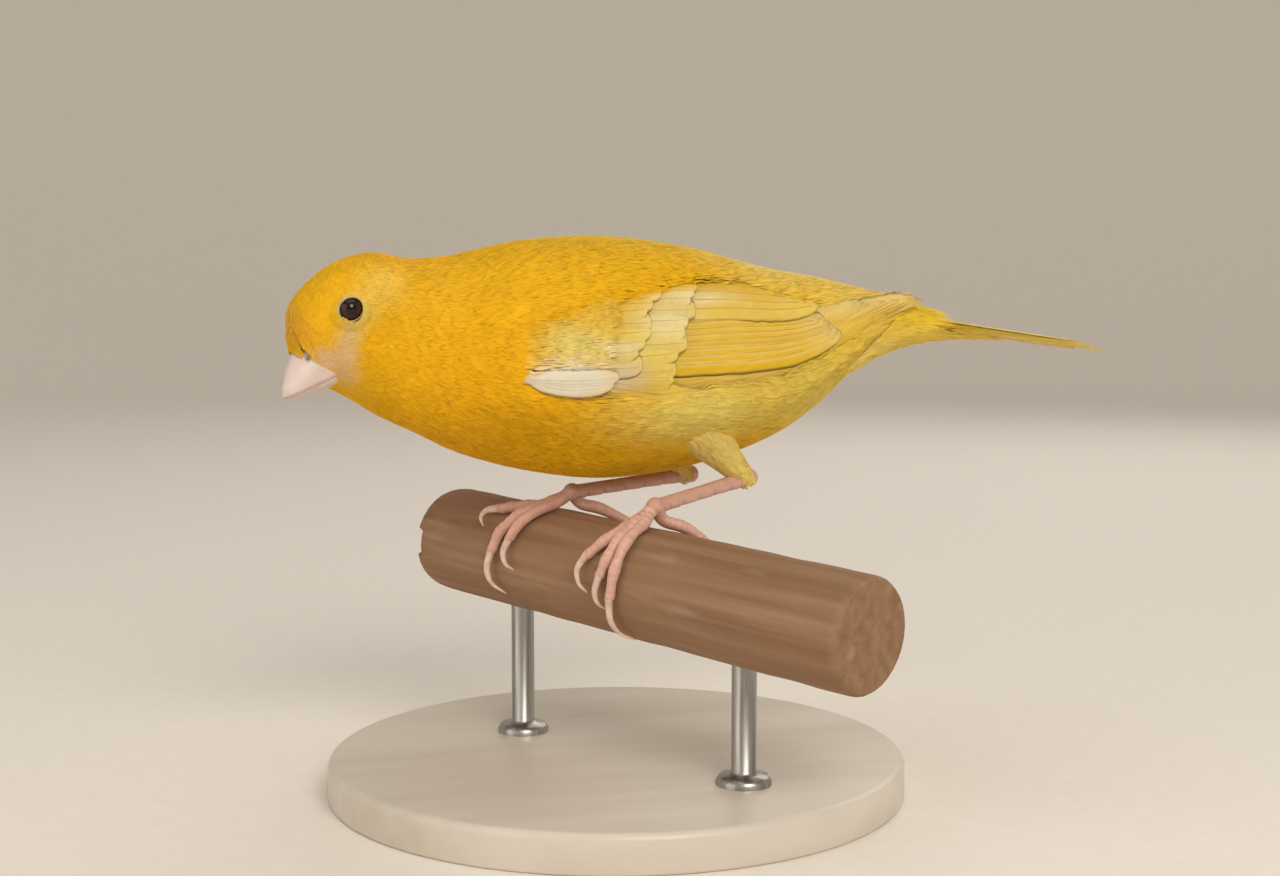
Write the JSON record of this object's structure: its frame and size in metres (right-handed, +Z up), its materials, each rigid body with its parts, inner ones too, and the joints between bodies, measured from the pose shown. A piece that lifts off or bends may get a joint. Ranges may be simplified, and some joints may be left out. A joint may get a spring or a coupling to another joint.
{
  "type": "canary figure on a perch",
  "caption": "Yellow canary crouched on a short cut round perch, head turned a little to its left, held over a round flat base by short rods.",
  "frame": {"origin": "centre of the flat underside of the display stand's base", "axes": "+X from the bird's breast towards its tail, so the bill points to -X; +Z up; the bird's left side is towards -Y"},
  "size_m": [0.138, 0.0949, 0.0882],
  "materials": {
    "yellow_plumage": "soft body feathers",
    "wing_plumage": "smooth flight feathers",
    "bill_horn": "satin horn",
    "claw_horn": "satin horn",
    "scaled_skin": "fine scutes, satin",
    "dark_eye": "wet gloss",
    "perch_wood": "bare, worn",
    "lacquered_base": "pale lacquer",
    "stand_steel": "brushed"
  },
  "bodies": {
    "root": {"bill_lower": "bill_horn", "bill_upper": "bill_horn", "claw_left_hind": "claw_horn", "claw_left_inner": "claw_horn", "claw_left_middle": "claw_horn", "claw_left_outer": "claw_horn", "claw_right_hind": "claw_horn", "claw_right_inner": "claw_horn", "claw_right_middle": "claw_horn", "claw_right_outer": "claw_horn", "eye_left": "dark_eye", "eye_right": "dark_eye", "foot_left": "scaled_skin", "foot_right": "scaled_skin", "head": "yellow_plumage", "neck": "yellow_plumage", "perch": "perch_wood", "shank_left": "scaled_skin", "shank_right": "scaled_skin", "stand_base": "lacquered_base", "stand_rod_far": "stand_steel", "stand_rod_near": "stand_steel", "tail": "wing_plumage", "thigh_left": "yellow_plumage", "thigh_right": "yellow_plumage", "torso": "yellow_plumage", "wing_left": "wing_plumage", "wing_right": "wing_plumage"}
  },
  "joints": []
}
